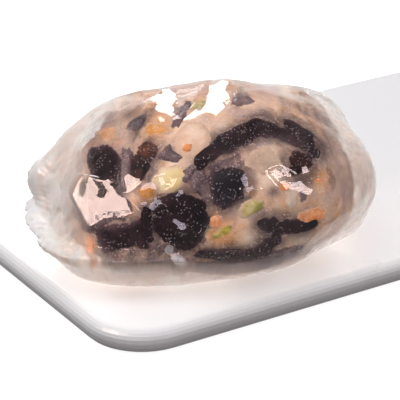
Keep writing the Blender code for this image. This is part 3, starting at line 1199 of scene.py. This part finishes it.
def insideBy(pixels, outline):
    # how many pixels inside the outline each place lies, less than nothing outside
    corners = np.array(outline, float)
    nearest = np.full(len(pixels), 1e9)
    inside = np.zeros(len(pixels), bool)
    for start, end in zip(corners, np.roll(corners, -1, axis=0)):
        edge = end - start
        share = np.clip(((pixels - start) @ edge) / (edge @ edge), 0.0, 1.0)
        nearest = np.minimum(nearest, np.linalg.norm(pixels - start - share[:, None] * edge, axis=1))
        crosses = (start[1] > pixels[:, 1]) != (end[1] > pixels[:, 1])
        reach = start[0] + (pixels[:, 1] - start[1]) * edge[0] / (edge[1] if edge[1] else 1e-9)
        inside ^= crosses & (pixels[:, 0] < reach)
    return np.where(inside, nearest, -nearest)


def facetRelief(normals):
    # how far each facet moves the skin, how much it rules there and how rippled it is
    eye = np.array(eyePoint())
    toEye = eye - smoothSkin
    toEye /= np.linalg.norm(toEye, axis=1, keepdims=True)
    facing = (normals * toEye).sum(axis=1) > relief["facetFacing"]
    pixels = toPixel(smoothSkin)
    lift, rule, rippled = np.zeros((3, len(smoothSkin)))
    for lamp, ripple, outline in facets.values():
        margin = np.where(facing, insideBy(pixels, outline), -1e9)
        chosen = margin > 0
        centre = smoothSkin[chosen].mean(axis=0)
        flat = np.array(((Vector(eye) - Vector(centre)).normalized() + lampDirection(lamp)).normalized())
        along = np.maximum(normals @ flat, relief["facetSteepest"])
        height = relief["facetFlat"] * ((centre - smoothSkin) @ flat) / along
        height -= np.percentile(height[chosen], relief["facetLevel"]) + relief["facetSunk"]
        height = np.clip(height, -relief["facetSunk"], relief["facetMost"])
        share = smoothStep(*relief["facetEdge"], margin)
        lift = np.where(share > rule, share * height, lift)
        rippled = np.where(share > rule, ripple, rippled)
        rule = np.maximum(rule, share)
    return lift, rule, rippled


def within(*spans):
    # how far into all of the spans each point of the skin lies, from 0 to 1
    share = np.ones(len(skinForm))
    for axis, start, full in spans:
        share *= smoothStep(start, full, skinForm[:, "uvw".index(axis)])
    return share


def makeSkin(material):
    normals = pointNormals(smoothSkin, skinFaces)
    shallow = np.concatenate([pointsOf(piece)[depthOf[piece.name] < relief["shallow"]] for piece in lenses])
    gap = np.maximum(gapsTo(shallow, smoothSkin) - relief["pressFrom"], 0.0)
    bumps = np.zeros(len(smoothSkin))
    for seed, (size, height) in enumerate(relief["bumps"]):
        bumps += height * lumps(skinForm, size, seed=seed * 3.1 + 1.0)
    _, across, up = skinForm.T
    stray = relief["ribStray"] * lumps(skinForm, relief["ribStrayOver"], seed=31.0)
    combed = np.sin(2 * math.pi * (up + relief["ribLean"] * across + stray) / relief["ribStep"])
    bumps += relief["ribHeight"] * combed * within(*relief["ribbed"])
    stretched = skinForm * (1.0, 1.0, relief["creaseStretch"])
    creases = fade(lumps(stretched, relief["creaseSize"], seed=43.0), relief["creaseWidth"])
    bumps -= relief["creaseDepth"] * creases * within(*relief["creased"])
    flattened, rule, rippled = facetRelief(normals)
    pressed = relief["press"] * fade(gap, relief["pressReach"])
    lift = (pressed + bumps) * (1.0 - fade(up, relief["resting"])) * (1.0 - rule)
    lift += flattened + rippled * bumps * rule
    points = smoothSkin + normals * lift[:, None]
    points[:, 2] = np.maximum(points[:, 2], dishTop)
    made = meshObject("starchSkin", points, skinFaces, material)
    pixels = toPixel(smoothSkin)
    dulled = [smoothStep(*relief["dullEdge"], insideBy(pixels, place)) for place in dullPlaces]
    shredded = [smoothStep(*relief["shredEdge"], insideBy(pixels, place)) for place in shreddedPlaces]
    dull = np.maximum(np.max(dulled, axis=0), shreddedShare * np.max(shredded, axis=0))
    cloudy = np.clip(sum(strength * within(*spans) for strength, *spans in milk.values()), 0.0, 1.0)
    setAttribute(made, "dough", doughOver)
    setAttribute(made, "gloss", np.where(normals @ np.array(viewAxes()[2]) > 0, 1.0 - dull, 1.0))
    setAttribute(made, "cloud", cloudy + thickMilk[0] * within(*thickMilk[1:]))
    setAttribute(made, "warm", within(warmSpan) * (1.0 - paleFoot * within(footSpan)))
    return made


# How milky the skin is: by the dough over the filling in millimetres, in streaks, and where it is
# milky anyway
skinLook = {
    "least": 0.004,
    "thick": (1.2, 4.6),
    "thickShare": 0.35,
    "thickStreaks": 0.55,
    "thin": (0.4, 1.5),
    "thinStreaks": 0.07,
    "milky": 0.70,
    "milkyStreaks": 0.12,
}


def skinMaterial():
    # clear dough that turns to milky dough where it is thick, both under one gloss
    board = newBoard("cooked starch skin")
    dough, warm, milky = (board.attribute(name) for name in ("dough", "warm", "cloud"))
    streaks = board.noise(0.0035, 4.0, 0.65, stretch=(1.0, 1.0, 0.45)).between(0.34, 0.66)
    clouds = board.noise(0.009, 3.0, 0.5, shift=(2, 7, 4)).between(0.30, 0.62)
    foldShadeStreaks = board.noise(0.0026, 4.0, 0.65, stretch=(1.0, 1.0, 0.30), shift=(6, 2, 8)).between(0.50, 0.68)
    wrinkles = milky * board.noise(0.0018, 4.0, 0.7, shift=(3, 3, 1))
    shreds = board.noise(0.0008, 3.0, 0.6, stretch=(1.0, 1.0, 1.6), shift=(5, 9, 2)) - 0.5
    surface = {
        "Coat_Weight": (board.attribute("gloss") + 1.1 * shreds).between(0.42, 0.54),
        "Coat_Roughness": 0.03,
        "Coat_IOR": 1.5,
        "Normal": board.bump(board.noise(0.0007, 2.0, 0.6) + 2.5 * wrinkles, 0.00012, 0.35),
    }
    clearDough = board.principled(
        Base_Color=(0.985, 0.955, 0.925), Roughness=0.12, IOR=1.14, Transmission_Weight=1.0, **surface
    )
    peach = (0.10 + 0.90 * warm) * (0.35 + 0.65 * clouds)
    tint = board.blend(peach, (0.98, 0.95, 0.92), (0.92, 0.74, 0.63))
    # Brown streaks, strongest at the crimped end: painted shade of the dough's folds.
    tint = board.blend(0.45 * foldShadeStreaks * (0.25 + 0.75 * warm), tint, (0.60, 0.44, 0.38))
    # The milky dough glows faintly: painted light that stands in for light shining through it.
    milkyDough = board.principled(
        Base_Color=tint, Emission_Color=(1.0, 0.93, 0.88), Emission_Strength=0.05, Roughness=0.5, IOR=1.2,
        Transmission_Weight=0.25, Subsurface_Weight=0.85, Subsurface_Scale=0.004,
        Subsurface_Radius=(1.0, 0.75, 0.6), **surface
    )
    thick = dough.between(*skinLook["thick"]) * (skinLook["thickShare"] + skinLook["thickStreaks"] * streaks)
    thin = dough.between(*skinLook["thin"]) * skinLook["thinStreaks"] * streaks
    always = milky * (skinLook["milky"] + skinLook["milkyStreaks"] * streaks)
    share = skinLook["least"] + thick + thin + always
    return board.finish(board.add("ShaderNodeMixShader", None, share.clamped(), clearDough, milkyDough))


# The dough over the filling, in millimetres
filled = np.concatenate([pointsOf(piece) for piece in [corePiece, *lenses]])
doughOver = gapsTo(filled, smoothSkin) / millimetre
skin = makeSkin(skinMaterial())
skin.visible_shadow = False
corePiece.visible_shadow = False
print("skin relief made")

# Pale flecks just under the skin: bubbles in the dough, and painted glints over the dark filling.
flecks = {
    "perSquareMetre": 2.2e6,
    "least": 0.00003,
    "most": 0.00009,
    "under": 0.00022,
    "seed": 5,
    "clusters": 0.0032,
    "thinnest": 0.15,
    "goneBy": (2.4, 1.0),
    "patchy": (-0.15, 0.25),
}


def scatterGroup():
    # points over a surface, a small ball on each, made real
    group = bpy.data.node_groups.new("scattered flecks", "GeometryNodeTree")
    wanted = {"Geometry": "Geometry", "Density": "Float", "Least": "Float", "Most": "Float", "Seed": "Int",
              "Material": "Material"}
    for title, kind in wanted.items():
        group.interface.new_socket(title, in_out="INPUT", socket_type="NodeSocket" + kind)
    group.interface.new_socket("Geometry", in_out="OUTPUT", socket_type="NodeSocketGeometry")
    board = Board(group)
    given = {title: board.add("NodeGroupInput", out=title) for title in wanted}
    density = board.add("GeometryNodeInputNamedAttribute", None, "density") * given["Density"]
    spread = board.add("GeometryNodeDistributePointsOnFaces", Mesh=given["Geometry"], Density=density,
                       Seed=given["Seed"])
    ball = board.add("GeometryNodeMeshIcoSphere", Radius=1.0, Subdivisions=1)
    size = board.add("FunctionNodeRandomValue", {"data_type": "FLOAT_VECTOR"}, given["Least"], given["Most"],
                     Seed=given["Seed"])
    balls = board.add("GeometryNodeInstanceOnPoints", Points=spread, Instance=ball, Scale=size)
    real = board.add("GeometryNodeRealizeInstances", None, balls)
    painted = board.add("GeometryNodeSetMaterial", Geometry=real, Material=given["Material"])
    board.add("NodeGroupOutput", None, painted)
    return group


def makeFlecks():
    points = smoothSkin - pointNormals(smoothSkin, skinFaces) * flecks["under"]
    board = newBoard("starch flecks and painted glints")
    material = board.finish(board.principled(Base_Color=(0.56, 0.50, 0.54), Roughness=0.3))
    carrier = meshObject("carrier", points, skinFaces, material)
    patchy = smoothStep(*flecks["patchy"], lumps(skinForm, flecks["clusters"], seed=21.0))
    thickly = flecks["thinnest"] + (1.0 - flecks["thinnest"]) * patchy
    setAttribute(carrier, "density", thickly * smoothStep(*flecks["goneBy"], doughOver))
    scatter = carrier.modifiers.new("flecks", "NODES")
    scatter.node_group = scatterGroup()
    wanted = {"Density": flecks["perSquareMetre"], "Least": flecks["least"], "Most": flecks["most"],
              "Seed": flecks["seed"], "Material": material}
    for item in scatter.node_group.interface.items_tree:
        if item.in_out == "INPUT" and item.name in wanted:
            scatter[item.identifier] = wanted[item.name]
    graph = bpy.context.evaluated_depsgraph_get()
    data = bpy.data.meshes.new_from_object(carrier.evaluated_get(graph))
    made = bpy.data.objects.new("starchFlecks", data)
    bpy.context.collection.objects.link(made)
    bpy.data.objects.remove(carrier)
    return made


fleckPiece = makeFlecks()
print("flecks:", len(fleckPiece.data.polygons), "faces")


def porcelainMaterial():
    board = newBoard("glazed porcelain")
    tint = board.blend(board.noise(0.05), (0.90, 0.90, 0.895), (0.93, 0.93, 0.93))
    gloss = 0.25 + 0.08 * board.noise(0.012, 3.0)
    wave = board.bump(board.noise(0.02), 0.0003, 0.2)
    glaze = board.principled(Base_Color=tint, Roughness=gloss, Normal=wave, Specular_IOR_Level=0.5)
    return board.finish(glaze)


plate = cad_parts["plate"]
plate.data.materials.clear()
plate.data.materials.append(porcelainMaterial())
print("plate glazed")


def makeLamps():
    middle = Vector((*form["place"], studio["middleHeight"]))
    for name, lamp in lamps.items():
        direction = lampDirection(name)
        data = bpy.data.lights.new(name, "AREA")
        data.shape = "RECTANGLE"
        data.size = 2 * studio["away"] * math.tan(math.radians(lamp["wide"] / 2))
        data.size_y = 2 * studio["away"] * math.tan(math.radians(lamp["high"] / 2))
        data.energy = lamp["glow"] * math.pi * data.size * data.size_y
        data.color = lamp["colour"]
        light = bpy.data.objects.new(name, data)
        light.visible_glossy = lamp.get("mirrored", True)
        light.visible_diffuse = lamp.get("lights", True)
        across = Vector((0, 0, 1)).cross(direction).normalized()
        upward = direction.cross(across)
        turned = Matrix((across, upward, direction)).transposed().to_4x4()
        light.matrix_world = Matrix.Translation(middle + direction * studio["away"]) @ turned
        bpy.context.collection.objects.link(light)


def makeWorld():
    # a dim room over a dim floor, with a pale backdrop low down behind the dumpling
    world = bpy.data.worlds.new("studio")
    bpy.context.scene.world = world
    board = Board(world)
    way = board.add("ShaderNodeTexCoord", out="Generated")
    rise = board.add("ShaderNodeSeparateXYZ", None, way, out="Z")
    _, _, back = viewAxes()
    away = Vector((-back.x, -back.y, 0.0)).normalized()
    behind = board.add("ShaderNodeVectorMath", {"operation": "DOT_PRODUCT"}, way, tuple(away), out="Value")
    room = board.blend(rise.between(*studio["horizon"]), studio["below"], studio["sky"])
    low = 1.0 - rise.math("ABSOLUTE").between(*studio["backdropTop"])
    glow = board.blend(behind.between(*studio["backdropSide"]) * low, room, studio["backdrop"])
    board.finish(board.add("ShaderNodeBackground", None, glow))


def makeFloor():
    board = newBoard("pale floor")
    shader = board.principled(Base_Color=(0.9, 0.9, 0.9), Roughness=0.9, Emission_Color=(1.0, 1.0, 1.0),
                              Emission_Strength=studio["floorGlow"])
    half, under = studio["floorSide"] / 2, -studio["floorDrop"]
    corners = [(-half, -half, under), (half, -half, under), (half, half, under), (-half, half, under)]
    floor = meshObject("floor", corners, [(0, 1, 2, 3)], board.finish(shader))
    floor.visible_diffuse = False
    floor.visible_glossy = False


makeLamps()
makeWorld()
makeFloor()
print("studio lit")

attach(skin, "root")
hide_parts("dumpling")
for piece in [corePiece, *lenses, fleckPiece]:
    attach(piece, "root")
    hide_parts("dumpling")
